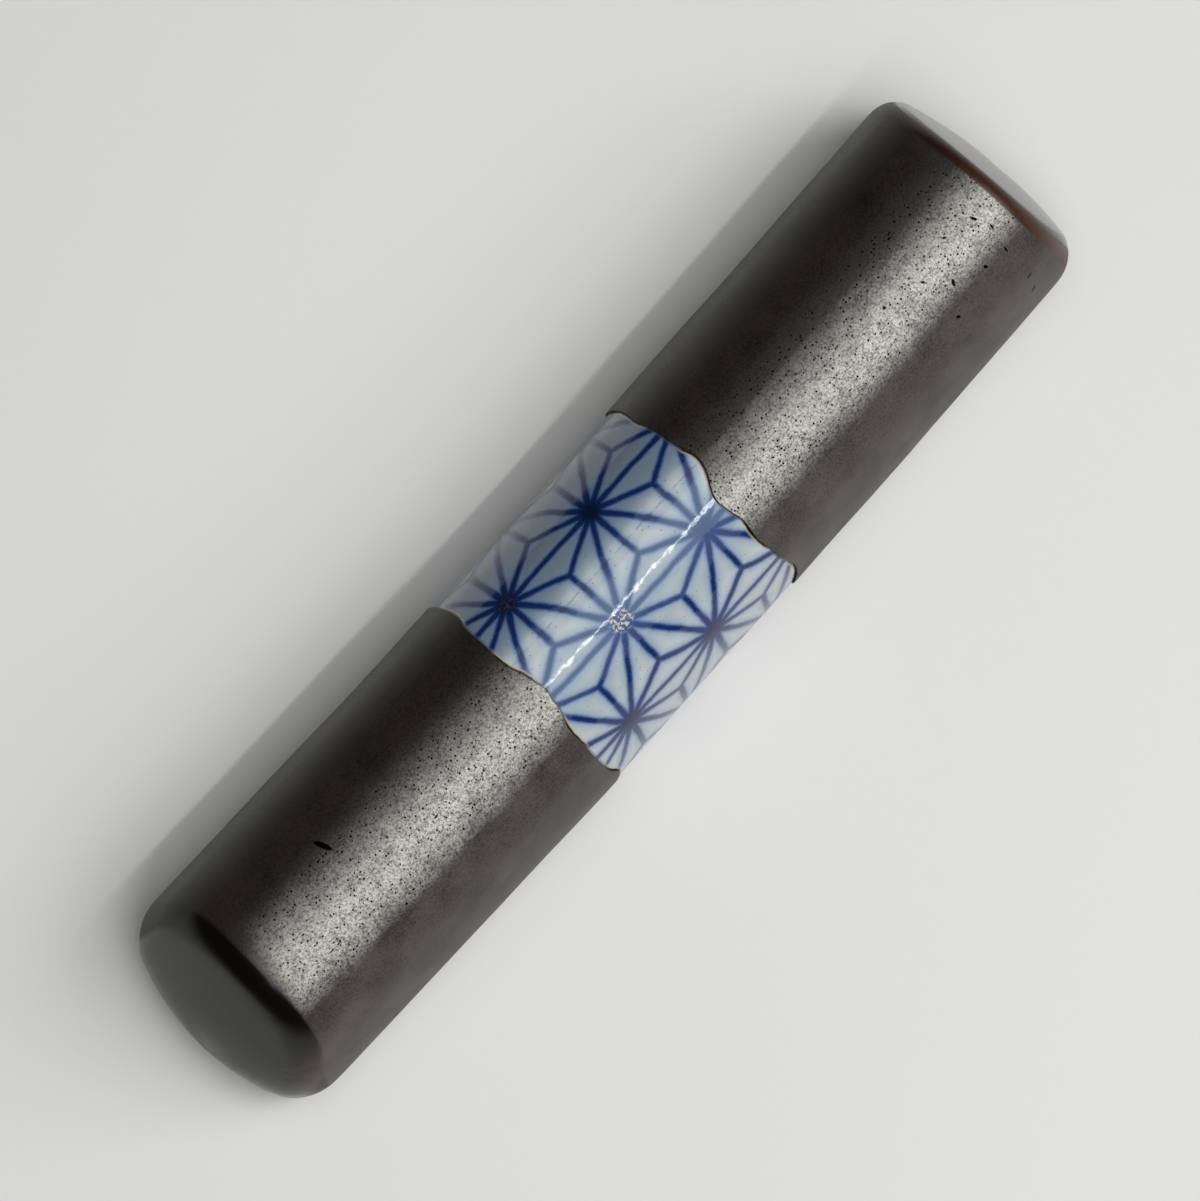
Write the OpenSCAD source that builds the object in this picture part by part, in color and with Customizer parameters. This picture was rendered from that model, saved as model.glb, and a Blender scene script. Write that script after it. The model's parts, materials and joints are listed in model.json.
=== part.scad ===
// Chopstick rest: a pressed porcelain rod of arched section that stands on a flat, bare foot. A
// printed band wraps its waist under clear glaze, and each end is dipped in dark iron glaze. X runs
// along the rod, Y across it, and Z up from the foot.

/* [Rod] */
// Length of the rod over its domed ends
rod_length = 70; // [60:1:85]
// Width of the rod across its hips
rod_width = 15; // [14:0.5:18]
// Height of the rod from its foot to its crest
rod_height = 13; // [12:0.5:16]
// Radius of the rounded crest that the chopsticks lie across
crest_r = 6.8; // [5.8:0.1:7]
// Radius of the steep, slightly bulging flanks
flank_r = 20; // [14:1:60]
// Radius of the hips, where the flanks roll under to the foot
hip_r = 3.3; // [2.6:0.1:3.6]
// Sideways bow that the rod took on in drying and firing
rod_bow = 0.5; // [0:0.05:0.8]

/* [Left end] */
// How far the left end face leans back between the hips and the crest
left_lean = 4.4; // [1:0.1:5]
// How far the middle of the left end face stands out past its sides
left_dome = 1.9; // [0.4:0.1:2.6]
// Rounding where the left end face meets the crest
left_crest_edge_r = 1.2; // [0.6:0.1:1.6]
// Rounding where the left end face meets the hips
left_hip_edge_r = 2.3; // [1.2:0.1:3]
// Place across the rod of the left end's furthest point, minus towards the front
left_peak_y = -0.7; // [-2:0.1:2]

/* [Right end] */
// How far the right end face leans back between the hips and the crest
right_lean = 2.5; // [1:0.1:5]
// How far the middle of the right end face stands out past its sides
right_dome = 1; // [0.4:0.1:2.6]
// Rounding where the right end face meets the crest
right_crest_edge_r = 0.8; // [0.6:0.1:1.6]
// Rounding where the right end face meets the hips
right_hip_edge_r = 1.9; // [1.2:0.1:3]
// Place across the rod of the right end's furthest point, minus towards the front
right_peak_y = -0.7; // [-2:0.1:2]

/* [Glaze] */
// Thickness of the dark glaze on the clay
glaze_t = 0.4; // [0.35:0.05:0.6]
// Thickness of the clear glaze over the print, which leaves the band lower than the dark ends
clear_t = 0.15; // [0.1:0.05:0.2]
// Thickness of the printed layer under the clear glaze
print_t = 0.1; // [0.05:0.05:0.15]
// Height of the glaze's lower edge above the foot
glaze_line_h = 0.8; // [0.6:0.1:1.4]

/* [Printed band] */
// Width of the printed band along the rod
band_width = 15.6; // [8:0.2:24]
// Distance of the band's middle from the rod's middle
band_offset = 0.65; // [-4:0.05:4]
// Spacing of the printed stars along the rod
star_pitch = 7.2; // [5:0.1:10]
// Depth of the scallops where the band's edges follow the print
scallop_depth = 0.9; // [0:0.1:1.4]

/* [Hidden] */

// Share of the height over which an end face curls from upright into its lean
curl_share = 0.25;

// The print's rows of stars lie this far apart round the girth, as in a lattice of triangles
row_pitch = star_pitch * cos(30);

// Steps of the section from the crest down: round the crest, the flank and the hip to the
// glaze's edge, then under the hip and across half of the foot
crest_steps = 14;
flank_steps = 6;
hip_steps = 8;
under_steps = 3;
foot_steps = 4;
glaze_k = crest_steps + flank_steps + hip_steps;
half_k = glaze_k + under_steps + foot_steps;
girth_k = 2 * half_k;

// Rings along the rod from the left pole: the end face, its rounded edge, the flank up to the
// band, the band, and the same again to the right pole
face_rings = 3;
edge_rings = 5;
flank_rings = 6;
band_rings = 4;
flank_j = face_rings + edge_rings - 1;
band_j = flank_j + flank_rings;
last_j = 2 * band_j + band_rings;
ring_points = (last_j + 1) * girth_k;

// Places of the scallops, each as [share of a row of stars round the girth from the crest,
// share of the scallop's depth along the rod]. The girth counts up towards the front.
left_scallop_shares = [[-2.2, 0], [-1.39, 0.25], [-0.97, 0.3], [-0.74, 0], [-0.39, -0.05],
    [-0.29, -0.2], [-0.1, -0.1], [0.05, 0.25], [0.22, 0.35], [0.27, 0.6], [0.39, 0.2],
    [0.51, 0.25], [0.62, -0.2], [0.79, -0.45], [1, -0.35], [1.19, -0.4], [1.48, -0.3],
    [1.8, -0.1], [2, 0.6], [2.2, 0]];
right_scallop_shares = [[-2.2, 0], [-1.39, 0.2], [-0.89, 0.05], [-0.74, 0.25], [-0.43, 0.35],
    [-0.29, 0.45], [-0.24, 0.7], [-0.1, 0.7], [0, 0.5], [0.1, 0.1], [0.18, -0.3], [0.24, -0.75],
    [0.32, -0.55], [0.46, -0.5], [0.57, -0.25], [0.72, -0.3], [0.79, -0.45], [0.91, -0.45],
    [1.1, -0.15], [1.3, -0.1], [1.5, 0.25], [1.73, 0.6], [2, 0.5], [2.2, 0]];

function blend(a, b, share) = a + (b - a) * share;

// Middle of the flank's arc, which touches the arcs of the crest and the hip from outside
function flank_middle(crest, hip) =
    let (
        to_crest = flank_r - crest_r,
        to_hip = flank_r - hip_r,
        apart = norm(hip - crest),
        along = (hip - crest) / apart,
        foot_of = (to_crest ^ 2 - to_hip ^ 2 + apart ^ 2) / (2 * apart),
        aside = sqrt(to_crest ^ 2 - foot_of ^ 2)
    )
    crest + foot_of * along + aside * [along[1], -along[0]];

function heading(from, to) = atan2(to[1] - from[1], to[0] - from[0]);

// Points of an arc in equal steps, without its first point
function arc_points(middle, r, from, to, steps) =
    [for (i = [1:steps]) let (a = blend(from, to, i / steps)) middle + r * [cos(a), sin(a)]];

// Half of the section, [Y, Z], at a depth below the glaze, from the crest to mid-foot
function half_section(depth) =
    let (
        crest = [0, rod_height - crest_r],
        hip = [rod_width / 2 - hip_r, hip_r - depth],
        flank = flank_middle(crest, hip),
        crest_end = heading(flank, crest),
        flank_end = heading(flank, hip),
        glaze_end = -asin(1 - glaze_line_h / hip_r)
    )
    concat(
        [[0, rod_height - depth]],
        arc_points(crest, crest_r - depth, 90, crest_end, crest_steps),
        arc_points(flank, flank_r - depth, crest_end, flank_end, flank_steps),
        arc_points(hip, hip_r - depth, flank_end, glaze_end, hip_steps),
        arc_points(hip, hip_r - depth, glaze_end, -90, under_steps),
        [for (i = [1:foot_steps]) [hip[0] * (1 - i / foot_steps), 0]]
    );

// The whole section, from the crest down the front, across the foot and up the back
function section(depth) =
    let (half = half_section(depth))
    [for (k = [0:girth_k - 1]) k <= half_k ? [-half[k][0], half[k][1]] : half[girth_k - k]];

skin = section(0);

// Way round the girth from the crest to each point of the section, minus up the back
function way_to(k) = k == 0 ? 0 : way_to(k - 1) + norm(skin[k] - skin[k - 1]);
girth_way = [for (k = [0:girth_k - 1]) k <= half_k ? way_to(k) : -way_to(girth_k - k)];

// A size that differs between the two ends
function by_end(side, left, right) = side < 0 ? left : right;

// The furthest point of an end, [Y, Z]
function peak(side) = [by_end(side, left_peak_y, right_peak_y), hip_r];

// How far an end face stands back at a point of it from its furthest point
function stand_back(side, point) =
    let (
        off = point - peak(side),
        up = off[1] / (rod_height - hip_r),
        dome = by_end(side, left_dome, right_dome) * (2 * off[0] / rod_width) ^ 2,
        lean = by_end(side, left_lean, right_lean)
    )
    dome + lean * (norm([up, curl_share]) - curl_share) / (norm([1, curl_share]) - curl_share);

// Radius of an end's edge at each point of the section: crisp up the crest, softer at the hips
function edge_r(side, k) =
    let (
        up = (skin[k][1] - hip_r) / (rod_height - hip_r),
        hip_edge_r = by_end(side, left_hip_edge_r, right_hip_edge_r),
        crest_edge_r = by_end(side, left_crest_edge_r, right_crest_edge_r)
    )
    up > 0
        ? blend(hip_edge_r, crest_edge_r, sqrt(up))
        : blend(hip_edge_r, glaze_line_h, 1 - skin[k][1] / hip_r);

// A point of an end, at a turn of the rounded edge from 0 on the flank to 90 on the face, and
// at a share of the way out from the face's furthest point
function end_point(side, at, k, depth, turn, share) =
    let (
        out = at - peak(side),
        r = edge_r(side, k) - depth,
        inset = 1 - r * (1 - cos(turn)) / norm(out),
        point = peak(side) + share * inset * out,
        back = depth + stand_back(side, point) + r * (1 - sin(turn))
    )
    [side * (rod_length / 2 - back), point[0], point[1]];

function band_edge_x(side, k) =
    band_offset + side * band_width / 2
    + scallop_depth * lookup(girth_way[k] / row_pitch,
        by_end(side, left_scallop_shares, right_scallop_shares));

// Rings on the left half count from the pole, and the right half mirrors them
function straight_point(j, at, k, depth) =
    let (
        side = j <= band_j ? -1 : 1,
        step = side < 0 ? j - flank_j : last_j - flank_j - j,
        edge = end_point(side, at, k, depth, 0, 1)[0],
        in_band = j > band_j && j < band_j + band_rings,
        x = in_band
            ? blend(band_edge_x(-1, k), band_edge_x(1, k), (j - band_j) / band_rings)
            : blend(edge, band_edge_x(side, k), step / flank_rings)
    )
    [x, at[0], at[1]];

function ring_point(j, at, k, depth) =
    let (
        side = j < last_j / 2 ? -1 : 1,
        step = side < 0 ? j : last_j - j,
        turn = min(90, 90 * (flank_j - step) / edge_rings)
    )
    step > flank_j ? straight_point(j, at, k, depth)
    : end_point(side, at, k, depth, turn, min(1, (step + 1) / face_rings));

function bow(point) =
    point - [0, rod_bow * (cos(180 * point[0] / rod_length) - 1 / 2), 0];

// Every point at one depth below the glaze: the rings, then the left and the right pole
function surface_points(depth) =
    let (outline = section(depth))
    concat(
        [for (j = [0:last_j]) for (k = [0:girth_k - 1]) bow(ring_point(j, outline[k], k, depth))],
        [for (side = [-1, 1]) bow([side * (rod_length / 2 - depth), peak(side)[0], peak(side)[1]])]
    );

function corner(j, k) = j * girth_k + k % girth_k;

// The two triangles of the patch between two rings, seen from outside
function patch(j, k) =
    [
        [corner(j, k), corner(j + 1, k), corner(j + 1, k + 1)],
        [corner(j, k), corner(j + 1, k + 1), corner(j, k + 1)]
    ];

// The fan of triangles that closes an end at its pole
function fan(side) =
    [
        for (k = [0:girth_k - 1])
            side < 0
                ? [ring_points, corner(0, k), corner(0, k + 1)]
                : [ring_points + 1, corner(last_j, k + 1), corner(last_j, k)]
    ];

function inner(face) =
    [for (i = [2, 1, 0]) face[i] + ring_points + 2];

// A strip across the thickness of a coat, from one corner of its edge to the next
function rim(a, b) =
    let (c = a + ring_points + 2, d = b + ring_points + 2)
    [[a, c, d], [a, d, b]];

// A layer of the rod between two depths, where covers(j, k) says that a patch belongs to it
module coat(top, bottom, covers, pole) {
    cells = [for (j = [0:last_j - 1]) for (k = [0:girth_k - 1]) if (covers(j, k)) [j, k]];
    outer_faces = concat(
        [for (c = cells) for (f = patch(c[0], c[1])) f],
        pole == 0 ? [] : fan(pole)
    );
    rims = [
        for (c = cells) let (j = c[0], k = c[1])
            for (f = concat(
                !covers(j, k + 1) ? rim(corner(j + 1, k + 1), corner(j, k + 1)) : [],
                !covers(j, k - 1) ? rim(corner(j, k), corner(j + 1, k)) : [],
                !covers(j + 1, k) && j + 1 < last_j ? rim(corner(j + 1, k), corner(j + 1, k + 1)) : [],
                !covers(j - 1, k) && j > 0 ? rim(corner(j, k + 1), corner(j, k)) : []
            )) f
    ];
    polyhedron(
        points = concat(surface_points(top), surface_points(bottom)),
        faces = concat(outer_faces, [for (f = outer_faces) inner(f)], rims),
        convexity = 6
    );
}

function above_glaze_line(k) =
    let (place = (k + girth_k) % girth_k)
    place < glaze_k || place >= girth_k - glaze_k;

// Pressed and fired clay, bare where it stands on its foot
module porcelain_body() {
    color("ghostwhite")
        polyhedron(
            points = surface_points(glaze_t),
            faces = concat(
                [for (j = [0:last_j - 1]) for (k = [0:girth_k - 1]) for (f = patch(j, k)) f],
                fan(-1),
                fan(1)
            ),
            convexity = 4
        );
}

in_band = function (j, k) j >= band_j && j < band_j + band_rings && above_glaze_line(k);

// Cobalt print laid on the clay round the waist
module asanoha_transfer() {
    color("royalblue")
        coat(glaze_t - print_t, glaze_t, in_band, 0);
}

// Clear glaze over the print
module clear_glaze_band() {
    color("aliceblue")
        coat(glaze_t - print_t - clear_t, glaze_t - print_t, in_band, 0);
}

// Dark iron glaze that one end was dipped in, up to the band's scalloped edge
module iron_glaze_left() {
    dipped = function (j, k) j < face_rings - 1 || (j < band_j && above_glaze_line(k));
    color("#3a332e")
        coat(0, glaze_t, function (j, k) j >= 0 && dipped(j, k), -1);
}

module iron_glaze_right() {
    first_j = band_j + band_rings;
    dipped = function (j, k) j > last_j - face_rings || (j >= first_j && above_glaze_line(k));
    color("#3a332e")
        coat(0, glaze_t, function (j, k) j < last_j && dipped(j, k), 1);
}

porcelain_body();
asanoha_transfer();
clear_glaze_band();
iron_glaze_left();
iron_glaze_right();
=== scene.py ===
import json
import math

import bmesh
import bpy
from mathutils import Matrix, Vector, kdtree, noise

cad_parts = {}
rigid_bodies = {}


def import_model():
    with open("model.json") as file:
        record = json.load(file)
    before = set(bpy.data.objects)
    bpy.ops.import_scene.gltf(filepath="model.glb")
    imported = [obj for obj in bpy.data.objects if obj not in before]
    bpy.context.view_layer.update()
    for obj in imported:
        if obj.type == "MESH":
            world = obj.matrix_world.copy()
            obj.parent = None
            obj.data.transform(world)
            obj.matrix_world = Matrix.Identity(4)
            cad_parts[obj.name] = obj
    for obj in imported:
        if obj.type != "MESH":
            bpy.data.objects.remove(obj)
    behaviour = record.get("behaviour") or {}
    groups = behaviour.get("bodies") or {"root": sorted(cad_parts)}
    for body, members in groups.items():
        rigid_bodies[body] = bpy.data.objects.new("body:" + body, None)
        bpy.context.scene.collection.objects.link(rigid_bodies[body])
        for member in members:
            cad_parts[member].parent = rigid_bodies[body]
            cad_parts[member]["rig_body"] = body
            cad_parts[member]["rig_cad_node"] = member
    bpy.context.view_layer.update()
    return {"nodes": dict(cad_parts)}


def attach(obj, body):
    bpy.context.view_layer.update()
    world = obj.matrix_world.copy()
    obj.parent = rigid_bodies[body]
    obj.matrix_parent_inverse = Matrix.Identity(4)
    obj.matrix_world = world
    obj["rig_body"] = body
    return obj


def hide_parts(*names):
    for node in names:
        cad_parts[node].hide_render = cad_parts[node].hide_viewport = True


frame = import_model()

# The clay body: a porcelain rod pressed in a mould, dried and fired. It shows only underneath,
# where it was wiped so that it would not stick to the kiln shelf: a matt, fine-grained foot, white
# under the waist and stained brown under the ends, where iron glaze was wiped off it.

mm = 0.001
rod_middle_z = 5.5 * mm
spine_half = 26 * mm


def copy_of(node, name):
    """A copy of a CAD node, merged from loose triangles into quads, left in edit mode."""
    bpy.ops.object.select_all(action="DESELECT")
    source = frame["nodes"][node]
    source.select_set(True)
    bpy.context.view_layer.objects.active = source
    bpy.ops.object.duplicate()
    piece = bpy.context.object
    piece.name = piece.data.name = name
    piece.parent = None
    del piece["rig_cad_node"], piece["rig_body"]
    piece.data.materials.clear()
    bpy.ops.object.mode_set(mode="EDIT")
    bpy.ops.mesh.select_mode(type="EDGE")
    bpy.ops.mesh.select_all(action="SELECT")
    bpy.ops.mesh.customdata_custom_splitnormals_clear()
    bpy.ops.mesh.remove_doubles(threshold=0.002 * mm)
    bpy.ops.mesh.tris_convert_to_quads(
        face_threshold=math.radians(30), shape_threshold=math.radians(50)
    )
    bpy.ops.mesh.select_all(action="DESELECT")
    return piece


def pick_edges(piece, wanted):
    """Selects the edges of a piece in edit mode for which wanted(edge) is true."""
    bpy.ops.mesh.select_all(action="DESELECT")
    mesh = bmesh.from_edit_mesh(piece.data)
    mesh.normal_update()
    for edge in mesh.edges:
        if wanted(edge):
            edge.select_set(True)
    bmesh.update_edit_mesh(piece.data)


def along_rod(edge):
    """True on the long edges that run along the rod."""
    way = edge.verts[1].co - edge.verts[0].co
    return abs(way.x) > 0.8 * way.length and way.length > 1.5 * mm


def away_from_spine(place):
    """The way out at a place, from a spine in the rod: across on the flanks, along at the ends."""
    spine_x = max(-spine_half, min(spine_half, place.x))
    return (place - Vector((spine_x, 0, rod_middle_z))).normalized()


def is_crisp(edge):
    """True on the edges that stay crisp when the facets are rounded off."""
    return edge.calc_face_angle(0) > math.radians(60)


def smooth_and_sway(piece):
    """Rounds the piece's facets off and gives it the slight unevenness of a hand-finished form."""
    pick_edges(piece, is_crisp)
    bpy.ops.transform.edge_crease(value=1)
    bpy.ops.object.mode_set(mode="OBJECT")
    rounding = piece.modifiers.new("rounding", "SUBSURF")
    rounding.levels = rounding.render_levels = 2
    bpy.ops.object.modifier_apply(modifier=rounding.name)
    for vertex in piece.data.vertices:
        above_foot = min(1, max(0, vertex.co.z / (3 * mm)))
        broad = noise.noise(vertex.co / (7 * mm)) * 0.05 * mm
        fine = noise.noise(vertex.co / (2.2 * mm)) * 0.012 * mm
        vertex.co += away_from_spine(vertex.co) * (broad + fine) * above_foot
    piece.data.update()
    bpy.ops.object.shade_smooth_by_angle(angle=math.radians(40))


def linear(colour):
    """An sRGB hex colour as the linear RGBA that a shader takes."""
    parts = [int(colour[start : start + 2], 16) / 255 for start in (1, 3, 5)]
    light = [part / 12.92 if part <= 0.04045 else ((part + 0.055) / 1.055) ** 2.4 for part in parts]
    return (*light, 1)


def add(tree, kind, inputs=(), **settings):
    """Adds a shader node with its settings, links or sets its inputs, which are given by name or
    in their order, and gives back its outputs."""
    node = tree.nodes.new("ShaderNode" + kind)
    for name, value in settings.items():
        setattr(node, name, value)
    for name, value in inputs.items() if isinstance(inputs, dict) else enumerate(inputs):
        if isinstance(value, bpy.types.NodeSocket):
            tree.links.new(value, node.inputs[name])
        else:
            node.inputs[name].default_value = value
    return node.outputs


def fired_surface(name):
    """A new material, its tree and its shader."""
    material = bpy.data.materials.new(name)
    material.use_nodes = True
    return material, material.node_tree, material.node_tree.nodes["Principled BSDF"]


clay_body = copy_of("porcelain_body", "clay_body")
pick_edges(clay_body, along_rod)
bpy.ops.mesh.subdivide(number_cuts=1)
smooth_and_sway(clay_body)

# A map range with these settings is a soft mask of its value: 0 at the first number after the
# value and beyond, 1 at the second and beyond. Two more numbers stand for other ends than 0 and 1.
soft = {"interpolation_type": "SMOOTHSTEP"}

# Bare fired porcelain: dry to the eye, warm white, with a sand-fine grain and sparse brown specks
bare_porcelain, tree, shader = fired_surface("bare_porcelain")
place = add(tree, "TexCoord")["Object"]
grain = add(tree, "TexNoise", {"Vector": place, "Scale": 1 / (0.15 * mm), "Detail": 3})["Fac"]
speck = add(tree, "TexVoronoi", {"Vector": place, "Scale": 1 / (1.2 * mm)})["Distance"]
speck_mask = add(tree, "MapRange", (speck, 0.08, 0.04), **soft)[0]
along = add(tree, "SeparateXYZ", (place,))[0]
off_middle = add(tree, "Math", (along,), operation="ABSOLUTE")[0]
off_waist = add(tree, "MapRange", (off_middle, 7 * mm, 9 * mm), **soft)[0]
white_clay = add(tree, "MixRGB", (grain, linear("#d8d2c4"), linear("#ece8de")))[0]
stained_clay = add(tree, "MixRGB", (grain, linear("#4a382c"), linear("#8d7159")))[0]
tone = add(tree, "MixRGB", (off_waist, white_clay, stained_clay))[0]
specked = add(tree, "MixRGB", (speck_mask, tone, linear("#6b5138")))[0]
bump = add(tree, "Bump", {"Height": grain, "Strength": 0.3, "Distance": 0.02 * mm})[0]
tree.links.new(specked, shader.inputs["Base Color"])
tree.links.new(bump, shader.inputs["Normal"])
shader.inputs["Roughness"].default_value = 0.75
clay_body.data.materials.append(bare_porcelain)
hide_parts("porcelain_body")
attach(clay_body, "root")

# The printed band: a cobalt transfer of hemp-leaf stars laid round the waist of the clay, and
# the clear glaze that melted over it. The glaze is glassy, softly wavy, and stained brown where
# the dark glaze of the ends has crept against it.

band_middle_x = 0.65 * mm


def is_skin(face):
    """True on the outer side of a coat, and not on its rim or its inner side."""
    return face.normal.dot(away_from_spine(face.calc_center_median())) > 0.6


def is_lip(edge):
    """True on the outer edges of a coat, where its skin turns into its rim."""
    skins = [is_skin(face) for face in edge.link_faces]
    return sorted(skins) == [False, True] and edge.calc_face_angle(0) > math.radians(40)


def round_lips(piece, radius):
    """Rounds the outer edges of a coat, as surface tension does when it melts."""
    pick_edges(piece, is_lip)
    bpy.ops.mesh.bevel(offset=radius, segments=3, profile=0.5, clamp_overlap=True)


def turn_from_crest(place):
    """The angle round the section, seen from the rod's middle, from the crest to the front."""
    return math.atan2(-place.y, place.z - rod_middle_z)


def way_round(piece):
    """The section as [angle from the crest, way from the crest], read off a coat's middle ring."""
    mesh = bmesh.from_edit_mesh(piece.data)
    ring = {
        vertex
        for face in mesh.faces
        if is_skin(face)
        for vertex in face.verts
        if abs(vertex.co.x - band_middle_x) < 1.5 * mm
    }
    points = sorted((turn_from_crest(vertex.co), vertex.co.y, vertex.co.z) for vertex in ring)
    ways = [0]
    for before, after in zip(points, points[1:]):
        ways.append(ways[-1] + math.hypot(after[1] - before[1], after[2] - before[2]))
    crest = max(range(len(points)), key=lambda i: points[i][2])
    return [(point[0], way - ways[crest]) for point, way in zip(points, ways)]


def look_up(pairs, value):
    """The second of a pair, at a value of the first, between or past the pairs of a sorted list."""
    for low, high in zip(pairs, pairs[1:]):
        if value < high[0]:
            break
    return low[1] + (high[1] - low[1]) * (value - low[0]) / (high[0] - low[0])


glazed_band = copy_of("clear_glaze_band", "glazed_band")
section = way_round(glazed_band)
pick_edges(glazed_band, along_rod)
bpy.ops.mesh.subdivide(number_cuts=5)
round_lips(glazed_band, 0.12 * mm)
smooth_and_sway(glazed_band)

# The transfer was laid on wet and stretched unevenly round the form: [way round the glaze, way
# across the flat transfer], both in millimetres from the crest towards the front
transfer_stretch = [
    (-12, -9.9), (-8.4, -7.8), (-5.6, -5.7), (-3.5, -3.6), (-1.7, -1.55), (0.4, 0.5),
    (2.35, 2.6), (4.1, 4.7), (6, 6.8), (8.1, 8.85), (10.3, 10.9),
]

# The flat map holds each point's place along the rod and across the transfer, in millimetres
flat_map = glazed_band.data.uv_layers.new(name="flat_print")
for loop in glazed_band.data.loops:
    corner = glazed_band.data.vertices[loop.vertex_index].co
    way = look_up(section, turn_from_crest(corner)) / mm
    flat_map.data[loop.index].uv = (corner.x / mm, look_up(transfer_stretch, way))

# How far each point lies from the band's own ends, in millimetres
rims = [vertex.co for vertex in glazed_band.data.vertices if abs(vertex.normal.x) > 0.4]
rim_tree = kdtree.KDTree(len(rims))
for i, rim in enumerate(rims):
    rim_tree.insert(rim, i)
rim_tree.balance()
from_edge = glazed_band.data.attributes.new("from_edge", "FLOAT", "POINT")
for vertex in glazed_band.data.vertices:
    from_edge.data[vertex.index].value = rim_tree.find(vertex.co)[2] / mm

# Cobalt print under clear glaze on bluish porcelain: glossy as glass, lines soft at their edges,
# ink pooled dark where twelve of them meet, and a faint blue blush in the white beside them. Its
# sizes are in millimetres on the flat map, and the scales of its noises are per millimetre.
clear_glazed_print, tree, shader = fired_surface("clear_glazed_print")
flat = add(tree, "UVMap", uv_map="flat_print")[0]


def sway_by(tree, place, scale, reach):
    """A flat place moved by noise: the noise's scale per millimetre, its reach in millimetres."""
    sway = add(tree, "TexNoise", {"Vector": place, "Scale": scale, "Detail": 2})["Color"]
    centred = add(tree, "VectorMath", (sway, (0.5, 0.5, 0.5)), operation="SUBTRACT")[0]
    moved = (centred, (reach, reach, 0), place)
    return add(tree, "VectorMath", moved, operation="MULTIPLY_ADD")[0]


# The stars stand in two sets of rows, the second half a star further along and one row on. Each
# point goes by the nearer star: its reach from the star's middle, and how far it is off a line,
# of which one runs out every thirty degrees and swells towards the middle.
star_pitch = 7.2
row_pitch = star_pitch * math.cos(math.pi / 6)
star_x = -0.92
star_way = 2.6
cell_high = (star_pitch / 2, row_pitch, 1)
cell_low = (-star_pitch / 2, -row_pitch, -1)
print_place = sway_by(tree, sway_by(tree, flat, 0.5, 0.3), 6, 0.07)
stars = []
for shift in (0, 1):
    middle = (star_x + shift * star_pitch / 2, star_way + shift * row_pitch, 0)
    moved = add(tree, "VectorMath", (print_place, middle), operation="SUBTRACT")[0]
    star = add(tree, "VectorMath", (moved, cell_high, cell_low), operation="WRAP")[0]
    stars.append(star)
reaches = [add(tree, "VectorMath", (star,), operation="LENGTH")["Value"] for star in stars]
second = add(tree, "Math", (reaches[1], reaches[0]), operation="LESS_THAN")[0]
two_stars = {"Factor": second, 4: stars[0], 5: stars[1]}
near_star = add(tree, "Mix", two_stars, data_type="VECTOR")[1]
reach = add(tree, "Math", reaches, operation="MINIMUM")[0]
star_parts = add(tree, "SeparateXYZ", (near_star,))
turn = add(tree, "Math", (star_parts[1], star_parts[0]), operation="ARCTAN2")[0]
off_ray = add(tree, "Math", (turn, math.pi / 12), operation="PINGPONG")[0]
slope = add(tree, "Math", (off_ray,), operation="SINE")[0]
swell = add(tree, "MapRange", (reach, 2.2, 0.7, 0, -0.04), **soft)[0]
off_line = add(tree, "Math", (slope, reach, swell), operation="MULTIPLY_ADD")[0]

# White porcelain, a little cloudy, whitest along the crest and low on the front, with painted shade
# that makes it darker and bluer down the back, and a blue blush that the glaze drew out of the ink
from_crest = add(tree, "SeparateXYZ", (sway_by(tree, flat, 0.8, 0.25),))[1]
off_crest = add(tree, "Math", (from_crest,), operation="ABSOLUTE")[0]
on_crest = add(tree, "MapRange", (off_crest, 1.6, 0.6), **soft)[0]
near_back = add(tree, "MapRange", (from_crest, -0.5, -2.2), **soft)[0]
less_far_back = add(tree, "MapRange", (from_crest, -4.6, -6, 1, 0.9), **soft)[0]
# Painted shade: the white is drawn darker and bluer down the back.
painted_back_shade = add(tree, "Math", (near_back, less_far_back), operation="MULTIPLY")[0]
down_front = add(tree, "MapRange", (from_crest, 4, 6.5), **soft)[0]
by_line = add(tree, "MapRange", (off_line, 0.85, 0.15, 0, 0.46), **soft)[0]
by_star = add(tree, "MapRange", (reach, 2.4, 0.6, 0, 0.42), **soft)[0]
cloud = add(tree, "TexNoise", {"Vector": flat, "Scale": 0.6, "Detail": 3})["Fac"]
cloudy = add(tree, "MapRange", (cloud, 0.3, 0.7), **soft)[0]
white = add(tree, "MixRGB", (cloudy, linear("#98a8b0"), linear("#abb4b5")))[0]
for mask, tint in (
    (on_crest, "#b2bdc1"),
    (painted_back_shade, "#74808b"),
    (down_front, "#b2babd"),
    (by_line, "#6487b2"),
    (by_star, "#4c73ae"),
):
    white = add(tree, "MixRGB", (mask, white, linear(tint)))[0]

# The lines and the pools where they meet are darkest at the back, which is painted shade. A little
# in front of the crest they are drawn paler and greyer, a painted reflection of the haze on the
# glaze, and the lines' darker cores hardly show there.
# Painted reflection: in front of the crest the ink is drawn paler and greyer, as under haze.
haze_way = add(tree, "Math", (from_crest, -1.7), operation="ADD")[0]
off_haze = add(tree, "Math", (haze_way,), operation="ABSOLUTE")[0]
clear_of_painted_haze = add(tree, "MapRange", (off_haze, 1, 2.5), **soft)[0]
line_blue = add(tree, "MixRGB", (clear_of_painted_haze, linear("#1c4a7a"), linear("#1c438a")))[0]
pool_blue = add(tree, "MixRGB", (clear_of_painted_haze, linear("#1b4274"), linear("#163872")))[0]
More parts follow.
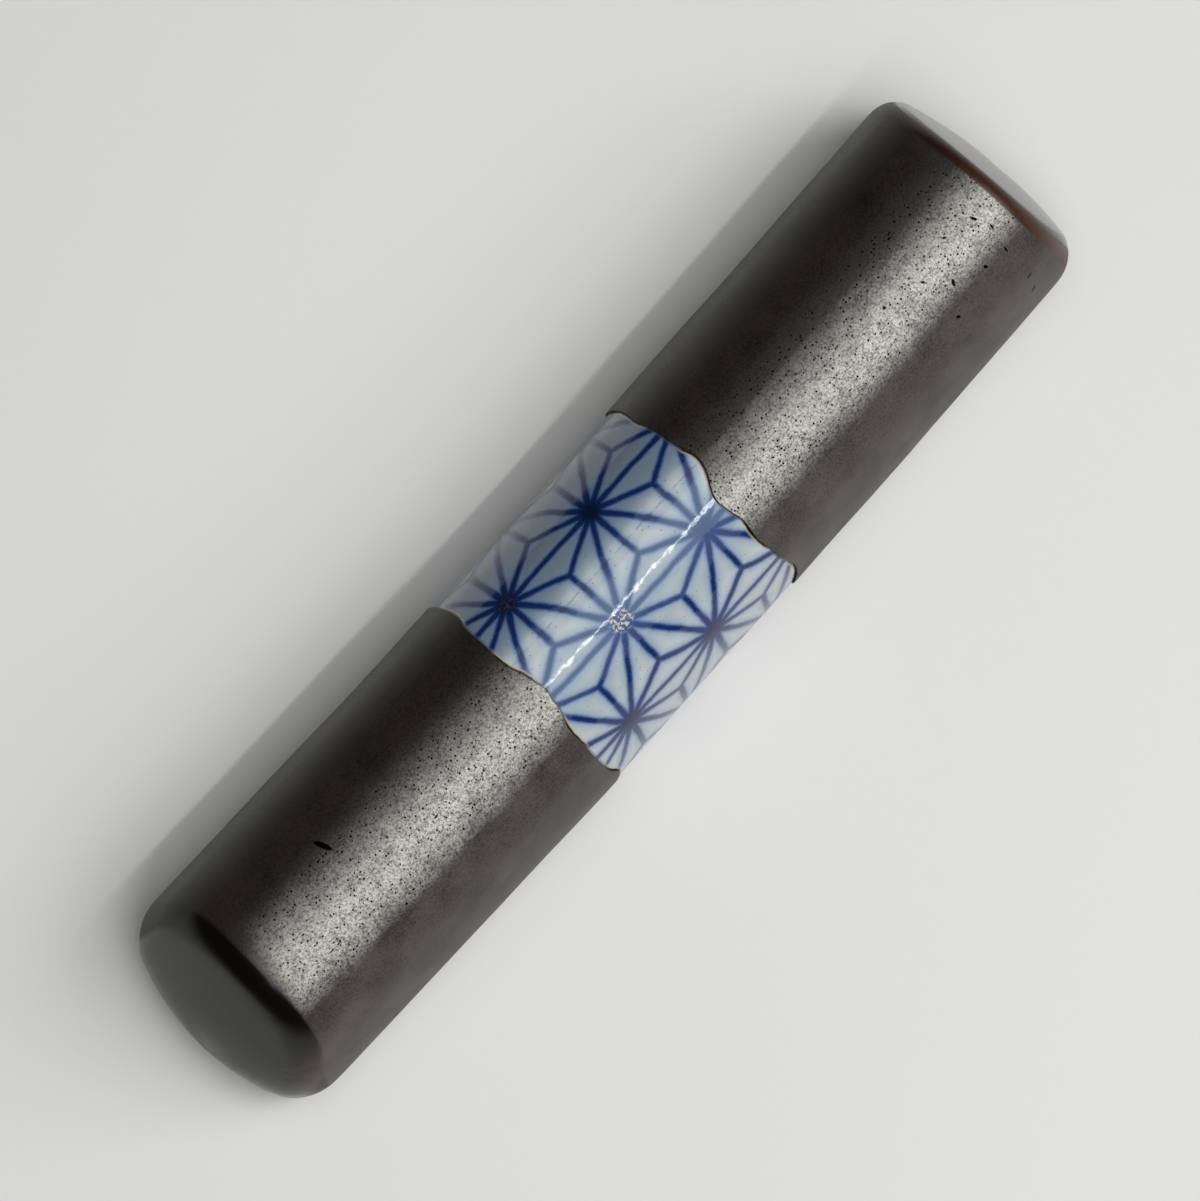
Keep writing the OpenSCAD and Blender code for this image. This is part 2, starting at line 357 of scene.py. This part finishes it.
# Painted shade: the lines and pools are drawn darker down the back.
for mask, line_tint, pool_tint in (
    (painted_back_shade, "#0f2c60", "#061433"),
    (down_front, "#0a2e76", "#061646"),
):
    line_blue = add(tree, "MixRGB", (mask, line_blue, linear(line_tint)))[0]
    pool_blue = add(tree, "MixRGB", (mask, pool_blue, linear(pool_tint)))[0]
ink_grain = add(tree, "TexNoise", {"Vector": flat, "Scale": 9, "Detail": 2})["Fac"]
grained = add(tree, "MapRange", (ink_grain, 0.22, 0.55), **soft)[0]
core_clear_of_painted_haze = add(tree, "MapRange", (clear_of_painted_haze, -0.4, 1.1), **soft)[0]
core = add(tree, "MapRange", (off_line, 0.25, 0.05, 0, 0.85), **soft)[0]
core = add(tree, "Math", (core, grained), operation="MULTIPLY")[0]
core = add(tree, "Math", (core, core_clear_of_painted_haze), operation="MULTIPLY")[0]
line = add(tree, "MapRange", (off_line, 0.38, 0.05, 0, 0.95), **soft)[0]
pool = add(tree, "MapRange", (reach, 1.1, 0.25, 0, 0.93), **soft)[0]
inked = add(tree, "MixRGB", (line, white, line_blue))[0]
inked = add(tree, "MixRGB", (core, inked, linear("#051e50")))[0]
inked = add(tree, "MixRGB", (pool, inked, pool_blue))[0]

# A fold in the transfer: a hair-thin broken line along the rod, near the crest, with the ink
# blotted where it crosses a line
fold_way = add(tree, "Math", (from_crest, 0.5), operation="ADD")[0]
off_fold = add(tree, "Math", (fold_way,), operation="ABSOLUTE")[0]
broken = add(tree, "TexNoise", {"Vector": flat, "Scale": 2.2, "Detail": 2})["Fac"]
unbroken = add(tree, "MapRange", (broken, 0.35, 0.6), **soft)[0]
fold = add(tree, "MapRange", (off_fold, 0.075, 0, 0, 0.5), **soft)[0]
fold = add(tree, "Math", (fold, unbroken), operation="MULTIPLY")[0]
on_line = add(tree, "MapRange", (off_line, 0.3, 0.1), **soft)[0]
blot = add(tree, "MapRange", (off_fold, 0.28, 0.05, 0, 0.6), **soft)[0]
blot = add(tree, "Math", (blot, on_line), operation="MULTIPLY")[0]

# Specks of iron in the clay, and bubbles that burst: a silvery patch of them over the middle star,
# and a rusty one over the star behind it
speck = add(tree, "TexVoronoi", {"Vector": flat, "Scale": 1.3}, voronoi_dimensions="2D")
chosen = add(tree, "MapRange", (speck["Color"], 0.5, 0.6, 0, 0.7), **soft)[0]
specks = add(tree, "MapRange", (speck["Distance"], 0.07, 0.03), **soft)[0]
specks = add(tree, "Math", (specks, chosen), operation="MULTIPLY")[0]
froth = {"Vector": flat, "Scale": 4.5, "Detail": 4, "Roughness": 0.7}
bubbles = add(tree, "TexNoise", froth)["Fac"]
burst = add(tree, "MapRange", (bubbles, 0.5, 0.56), **soft)[0]
silver_middle = (star_x + 0.05, star_way - 0.05, 0)
silver_way = add(tree, "VectorMath", (flat, silver_middle), operation="DISTANCE")["Value"]
silver = add(tree, "MapRange", (silver_way, 0.95, 0.55), **soft)[0]
silver = add(tree, "Math", (burst, silver), operation="MULTIPLY")[0]
rust_middle = (star_x - star_pitch / 2, star_way - row_pitch, 0)
rust_way = add(tree, "VectorMath", (flat, rust_middle), operation="DISTANCE")["Value"]
rust = add(tree, "MapRange", (rust_way, 0.9, 0.3, 0, 0.6), **soft)[0]
rust = add(tree, "Math", (burst, rust), operation="MULTIPLY")[0]

# The ends of the band: shaded all round where the glazes meet, and in stretches stained cream and
# dark brown, where the iron glaze crept against it
stain_spacing = 6.1
edge_way = add(tree, "Attribute", attribute_name="from_edge")["Fac"]
ragged = add(tree, "TexNoise", {"Vector": flat, "Scale": 1.1, "Detail": 3})["Fac"]
edge_way = add(tree, "Math", (ragged, -0.2, edge_way), operation="MULTIPLY_ADD")[0]
stain_way = add(tree, "Math", (from_crest, 0.4), operation="ADD")[0]
off_stain = add(tree, "Math", (stain_way, stain_spacing / 2), operation="PINGPONG")[0]
stain = add(tree, "MapRange", (off_stain, 1.9, 1.1), **soft)[0]
shade = add(tree, "MapRange", (edge_way, 0.08, -0.06, 0, 0.6), **soft)[0]
cream = add(tree, "MapRange", (edge_way, 0.16, 0, 0, 0.75), **soft)[0]
cream = add(tree, "Math", (cream, stain), operation="MULTIPLY")[0]
brown = add(tree, "MapRange", (edge_way, 0.03, -0.05), **soft)[0]
brown = add(tree, "Math", (brown, stain), operation="MULTIPLY")[0]

stained = inked
for mask, tint in (
    (fold, "#2a4468"),
    (blot, "#0d2350"),
    (specks, "#3a3330"),
    (silver, "#bcbcb8"),
    (rust, "#4a3a30"),
    (shade, "#4a4d4c"),
    (cream, "#b3a482"),
    (brown, "#2b1a0e"),
):
    stained = add(tree, "MixRGB", (mask, stained, linear(tint)))[0]
ripple = add(tree, "TexNoise", {"Vector": flat, "Scale": 0.9, "Detail": 2})["Fac"]
wrinkle = add(tree, "TexNoise", {"Vector": flat, "Scale": 3.5, "Detail": 2})["Fac"]
relief = add(tree, "Math", (wrinkle, 0.12, ripple), operation="MULTIPLY_ADD")[0]
bump = add(tree, "Bump", {"Height": relief, "Strength": 0.5, "Distance": 0.045 * mm})[0]
tree.links.new(stained, shader.inputs["Base Color"])
tree.links.new(bump, shader.inputs["Normal"])
shader.inputs["Roughness"].default_value = 0.08
shader.inputs["IOR"].default_value = 1.5
glazed_band.data.materials.append(clear_glazed_print)
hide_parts("clear_glaze_band", "asanoha_transfer")
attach(glazed_band, "root")

# The dark ends: each was dipped in an iron-rich glaze up to the band. It fired to a satin black
# with a silvery lustre on top, peppered with fine pits, and it breaks to dark brown where it ran
# thin over the crisp edge of each end.

# The flame came from above and a little from the front. The lustre goes by the cosine of the
# skin's turn from it: where it starts, and how much more makes it full.
flame_lean = math.radians(11)
lustre_starts = 0.832
lustre_span = 0.13


def mark_lustre(piece, crest_strength, strength_rise):
    """Stores where the silvery lustre formed, on the side of the crest that faced the flame, and
    how far
    the skin has turned from the crest to the end face. It also stores painted light over the
    lustre:
    stronger towards the front, where the light falls, and weaker down the back."""
    towards_flame = Vector((0, -math.sin(flame_lean), math.cos(flame_lean)))
    normals = [vertex.normal.copy() for vertex in piece.data.vertices]
    sides = [math.copysign(1, vertex.co.x) for vertex in piece.data.vertices]
    marks = {
        "lustre": [
            (normal.dot(towards_flame) - lustre_starts) / lustre_span for normal in normals
        ],
        "painted_light_on_lustre": [crest_strength - strength_rise * normal.y for normal in normals],
        "end_turn": [normal.x * side for normal, side in zip(normals, sides)],
    }
    for name, values in marks.items():
        mark = piece.data.attributes.new(name, "FLOAT", "POINT")
        mark.data.foreach_set("value", [min(1, max(0, value)) for value in values])


# Iron glaze: near black in itself, its lustre almost metallic and flecked like fine steel, dotted
# with pits that stay black in any light
iron_glaze, tree, shader = fired_surface("iron_glaze")
place = add(tree, "TexCoord")["Object"]
along, across, up = add(tree, "SeparateXYZ", (place,))
patchy = add(tree, "TexNoise", {"Vector": place, "Scale": 1 / (2.5 * mm), "Detail": 4})["Fac"]
sparkle = {"Vector": place, "Scale": 1 / (0.15 * mm), "Detail": 4, "Roughness": 0.8}
fleck = add(tree, "TexNoise", sparkle)["Fac"]
blotch = add(tree, "TexNoise", {"Vector": place, "Scale": 1 / (0.7 * mm), "Detail": 2})["Fac"]
blotched = add(tree, "Math", (blotch, 0.2, fleck), operation="MULTIPLY_ADD")[0]
flecks = add(tree, "MapRange", (blotched, 0.43, 0.77), **soft)[0]
mottled = add(tree, "Math", (patchy, 0.5, fleck), operation="MULTIPLY_ADD")[0]
mottle = add(tree, "MapRange", (mottled, 0.5, 1), **soft)[0]

# Where the glaze is thin, and where the lustre lies: unevenly on top, off the edges of the ends,
# and stopping some way short of the left one
end_turn = add(tree, "Attribute", attribute_name="end_turn")["Fac"]
end_face = add(tree, "MapRange", (end_turn, 0.6, 0.75), **soft)[0]
thin = add(tree, "MapRange", (end_turn, 0.08, 0.25), **soft)[0]
thick = add(tree, "MapRange", (end_turn, 0.08, 0.25, 1, 0), **soft)[0]
right_half = add(tree, "MapRange", (along, -1 * mm, 1 * mm), **soft)[0]
off_middle = add(tree, "Math", (along,), operation="ABSOLUTE")[0]
to_end = add(tree, "Math", (across, 0.25, off_middle), operation="MULTIPLY_ADD")[0]
off_end = add(tree, "MapRange", (to_end, 29.6 * mm, 28.1 * mm), **soft)[0]
off_left_end = add(tree, "Math", (off_end, right_half), operation="MAXIMUM")[0]
lustre = add(tree, "Attribute", attribute_name="lustre")["Fac"]
uneven = add(tree, "Math", (patchy, 0.35, lustre), operation="MULTIPLY_ADD")[0]
silvery = add(tree, "MapRange", (uneven, 0.28, 1.12), **soft)[0]
silvery = add(tree, "Math", (silvery, thick), operation="MULTIPLY")[0]
silvery = add(tree, "Math", (silvery, off_left_end), operation="MULTIPLY")[0]

# Pits of many sizes, about 0.1 mm wide, in the lustre
dots = add(tree, "TexVoronoi", {"Vector": place, "Scale": 1 / (0.22 * mm)})
dot_size = add(tree, "MapRange", (dots["Color"], 0.3, 0.8, 0, 0.36), **soft)[0]
dot_depth = add(tree, "Math", (dot_size, dots["Distance"]), operation="SUBTRACT")[0]
dot = add(tree, "MapRange", (dot_depth, 0, 0.1), **soft)[0]
in_lustre = add(tree, "MapRange", (silvery, 0.25, 0.8), **soft)[0]
dot = add(tree, "Math", (dot, in_lustre), operation="MULTIPLY")[0]

# Burst blisters and scratches on top: [x, y, length, width] in millimetres, the tilt in degrees
blisters = [
    (-22, 1.5, 1.3, 0.36, -72),
    (-16.4, -2.2, 0.35, 0.12, 5),
    (-21.2, -4.2, 0.17, 0.15, 0),
    (22.8, -1.65, 0.22, 0.2, 0),
    (25.45, -2.3, 0.28, 0.17, -50),
    (26.72, -3.56, 0.44, 0.2, 60),
    (28.2, -1.5, 0.28, 0.15, -35),
    (28.76, -4.28, 0.3, 0.2, -40),
    (30.2, -2, 0.46, 0.2, -65),
    (30.63, -3.04, 0.34, 0.14, 85),
    (30.34, -4.45, 0.36, 0.12, 80),
    (25.6, -5, 0.3, 0.18, -30),
    (30.55, -6.25, 0.45, 0.1, 4),
    (30.4, -6.8, 0.45, 0.1, 12),
]
blister = 0
for x, y, length, width, tilt in blisters:
    lie = {
        "Vector": place,
        "Location": (x * mm, y * mm, 0),
        "Rotation": (0, 0, math.radians(tilt)),
        "Scale": (length / 2 * mm, width / 2 * mm, 1),
    }
    local = add(tree, "Mapping", lie, vector_type="TEXTURE")[0]
    off_spot = add(tree, "VectorMath", (local,), operation="LENGTH")["Value"]
    spot = add(tree, "MapRange", (off_spot, 1.15, 0.75), **soft)[0]
    blister = add(tree, "Math", (blister, spot), operation="MAXIMUM")[0]
on_top = add(tree, "MapRange", (up, 4 * mm, 5 * mm), **soft)[0]
blister = add(tree, "Math", (blister, on_top), operation="MULTIPLY")[0]
pit = add(tree, "Math", (blister, dot), operation="MAXIMUM")[0]

# The dull glaze is mottled and darkest down the back, which is painted shade, and the lustre is
# strongest at the front, where it is drawn brighter as a painted highlight. On the edges of the
# ends the glaze breaks to dark brown towards the front.
# Painted light and shade: this mark rises towards the front and falls down the back.
strength = add(tree, "Attribute", attribute_name="painted_light_on_lustre")["Fac"]
# Painted shade: the dull glaze is drawn darker down the back.
painted_shade_at_back = add(tree, "MapRange", (strength, 0.6, 0.1), **soft)[0]
dull = add(tree, "MixRGB", (mottle, linear("#221e1b"), linear("#554f4b")))[0]
dull_in_painted_shade = add(tree, "MixRGB", (mottle, linear("#0a0807"), linear("#2c2520")))[0]
dull = add(tree, "MixRGB", (painted_shade_at_back, dull, dull_in_painted_shade))[0]
clouding = add(tree, "MapRange", (patchy, 0.55, 0.35, 0, 0.15), **soft)[0]
# Painted light and shade: a dim and a bright copy of the flecked steel, the bright one to the
# front.
shaded_steel = add(tree, "MixRGB", (flecks, linear("#343331"), linear("#494743")))[0]
lit_steel = add(tree, "MixRGB", (flecks, linear("#4a4946"), linear("#bdbcb4")))[0]
steel = add(tree, "MixRGB", (strength, shaded_steel, lit_steel))[0]
steel = add(tree, "MixRGB", (clouding, steel, linear("#4b4946")))[0]
left_front = add(tree, "MapRange", (across, -5.2 * mm, -6.8 * mm), **soft)[0]
left_edge = add(tree, "MixRGB", (left_front, linear("#0c0806"), linear("#2e170e")))[0]
# The end faces are dark glaze: the left drawn near black as painted shade, the right browner and
# lighter as painted light.
left_face_painted_shade = add(tree, "MixRGB", (mottle, linear("#040404"), linear("#13110f")))[0]
left_break = add(tree, "MixRGB", (end_face, left_edge, left_face_painted_shade))[0]
right_front = add(tree, "MapRange", (across, 3 * mm, -1 * mm), **soft)[0]
right_edge = add(tree, "MixRGB", (right_front, linear("#241209"), linear("#3a1d0c")))[0]
right_face_painted_light = add(tree, "MixRGB", (mottle, linear("#19120e"), linear("#38291f")))[0]
right_break = add(tree, "MixRGB", (end_face, right_edge, right_face_painted_light))[0]
break_tone = add(tree, "MixRGB", (right_half, left_break, right_break))[0]
glaze = add(tree, "MixRGB", (silvery, dull, steel))[0]
glaze = add(tree, "MixRGB", (thin, glaze, break_tone))[0]
glaze = add(tree, "MixRGB", (pit, glaze, linear("#0b0a09")))[0]

# Satin all over, but glassy on the end faces and where the glaze ran thin over the left edge. The
# right face is the glassiest, and the thin glaze above it only a third as glassy as the left.
satin_roughness = add(tree, "MapRange", (fleck, 0.3, 0.7, 0.38, 0.58))[0]
glassy_roughness = add(tree, "MapRange", (mottle, 0, 1, 0.27, 0.15))[0]
side_factor = add(tree, "MapRange", (right_half, 0, 1, 1, 0.42))[0]
glassy_roughness = add(tree, "Math", (glassy_roughness, side_factor), operation="MULTIPLY")[0]
off_back_hip = add(tree, "MapRange", (across, 5.4 * mm, 4.2 * mm), **soft)[0]
off_front_hip = add(tree, "MapRange", (across, -7.2 * mm, -6.4 * mm), **soft)[0]
off_hips = add(tree, "Math", (off_back_hip, off_front_hip), operation="MULTIPLY")[0]
side_share = add(tree, "MapRange", (right_half, 0, 1, 1, 0.3164))[0]
glassy = add(tree, "Math", (thin, off_hips), operation="MULTIPLY")[0]
glassy = add(tree, "Math", (glassy, side_share), operation="MULTIPLY")[0]
glassy = add(tree, "Math", (glassy, end_face), operation="MAXIMUM")[0]
roughness = add(tree, "MapRange", (glassy, 0, 1, satin_roughness, glassy_roughness))[0]
metal = add(tree, "MapRange", (silvery, 0, 1, 0.1, 0.92))[0]
metal = add(tree, "Math", (metal, pit), operation="MAXIMUM")[0]
relief = add(tree, "Math", (pit, -0.6, fleck), operation="MULTIPLY_ADD")[0]
bump = add(tree, "Bump", {"Height": relief, "Strength": 0.4, "Distance": 0.02 * mm})[0]
tree.links.new(glaze, shader.inputs["Base Color"])
tree.links.new(metal, shader.inputs["Metallic"])
tree.links.new(roughness, shader.inputs["Roughness"])
tree.links.new(bump, shader.inputs["Normal"])
shader.inputs["IOR"].default_value = 1.42

# Per end: the lip's rounding, and the painted light on its lustre at the crest and its rise to the
# front.
for end, lip, crest_strength, strength_rise in (
    ("left", 0.3 * mm, 0.38, 1.35),
    ("right", 0.2 * mm, 0.18, 1.8),
):
    dipped_end = copy_of("iron_glaze_" + end, "dipped_end_" + end)
    pick_edges(dipped_end, along_rod)
    bpy.ops.mesh.subdivide(number_cuts=2)
    round_lips(dipped_end, lip)
    smooth_and_sway(dipped_end)
    mark_lustre(dipped_end, crest_strength, strength_rise)
    dipped_end.data.materials.append(iron_glaze)
    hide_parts("iron_glaze_" + end)
    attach(dipped_end, "root")

# The floor: the plain pale sheet that the rest stands on, smooth and matt, and big enough to fill
# the view from any side.

bpy.ops.mesh.primitive_plane_add(size=3)
floor = bpy.context.object
floor.name = "floor"
pale_sheet, tree, shader = fired_surface("pale_sheet")
shader.inputs["Base Color"].default_value = linear("#e4e4e1")
shader.inputs["Roughness"].default_value = 0.9
floor.data.materials.append(pale_sheet)

# The studio: a window of light from the front right, and over the rod a wide dim scrim with a
# softbox and a thin bright tube in it.

rod_centre = Vector((0, 0, 6 * mm))


def hang_lamp(name, angle, swing, distance, size_x, size_y, radiance):
    """An area lamp that faces the rod, as bright as radiance, where 1 is a white surface. Its
    angle goes from straight up towards the front, and its swing from there towards the right end,
    both in degrees. Its distance and its size are in metres."""
    bpy.ops.object.light_add(type="AREA")
    lamp = bpy.context.object
    lamp.name = name
    lamp.data.shape = "RECTANGLE"
    lamp.data.size = size_x
    lamp.data.size_y = size_y
    lamp.data.energy = radiance * math.pi * size_x * size_y
    tilt, turn = math.radians(angle), math.radians(swing)
    lamp.rotation_euler = (tilt, 0, turn)
    way = Vector((math.sin(turn), -math.cos(turn), 0)) * math.sin(tilt)
    lamp.location = rod_centre + distance * (way + Vector((0, 0, math.cos(tilt))))


hang_lamp("scrim", angle=19, swing=0, distance=0.5, size_x=0.4, size_y=1, radiance=0.95)
hang_lamp("softbox", angle=17.5, swing=0, distance=0.5, size_x=0.4, size_y=0.414, radiance=1.3)
hang_lamp("tube", angle=22.4, swing=0, distance=0.48, size_x=0.5, size_y=0.013, radiance=22)
hang_lamp("window", angle=48, swing=46, distance=0.6, size_x=0.35, size_y=0.35, radiance=3.8)

world = bpy.data.worlds.new("dim_room")
bpy.context.scene.world = world
world.use_nodes = True
world.node_tree.nodes["Background"].inputs["Color"].default_value = linear("#ffffff")
world.node_tree.nodes["Background"].inputs["Strength"].default_value = 0.03

# The camera looks down on the rod, which lies across the picture from lower left to upper right.
# It leans a little, by the slopes given, towards the rod's left end and its front. The target
# pixel is where the picture shows the target, a point inside the rod's middle.

lean_left = math.tan(0.0946)
lean_front = math.tan(0.1)
rod_slant = math.radians(47.79)
picture_width, picture_height = 1200, 1201
mm_down_picture = 70.57
target = Vector((0, 0, 3.4 * mm))
target_pixel = (600.9, 602.1)
camera_distance = 450 * mm
sensor_size = 36

towards_camera = Vector((-lean_left, -lean_front, 1)).normalized()
rod_way = Vector((1, 0, 0)) - towards_camera * towards_camera.x
rod_way.normalize()
cross_way = towards_camera.cross(rod_way)
picture_right = rod_way * math.cos(rod_slant) - cross_way * math.sin(rod_slant)
picture_up = towards_camera.cross(picture_right)
pixel = mm_down_picture * mm / picture_height
aim = target
aim = aim - picture_right * (target_pixel[0] - picture_width / 2) * pixel
aim = aim + picture_up * (target_pixel[1] - picture_height / 2) * pixel
bpy.ops.object.camera_add()
camera = bpy.context.object
camera.matrix_world = Matrix.Translation(aim + towards_camera * camera_distance) @ Matrix(
    (picture_right, picture_up, towards_camera)
).transposed().to_4x4()
camera.data.sensor_width = sensor_size
camera.data.lens = sensor_size * camera_distance / (mm_down_picture * mm)
camera.data.clip_start = 10 * mm
bpy.context.scene.camera = camera
bpy.context.scene.view_settings.view_transform = "Standard"
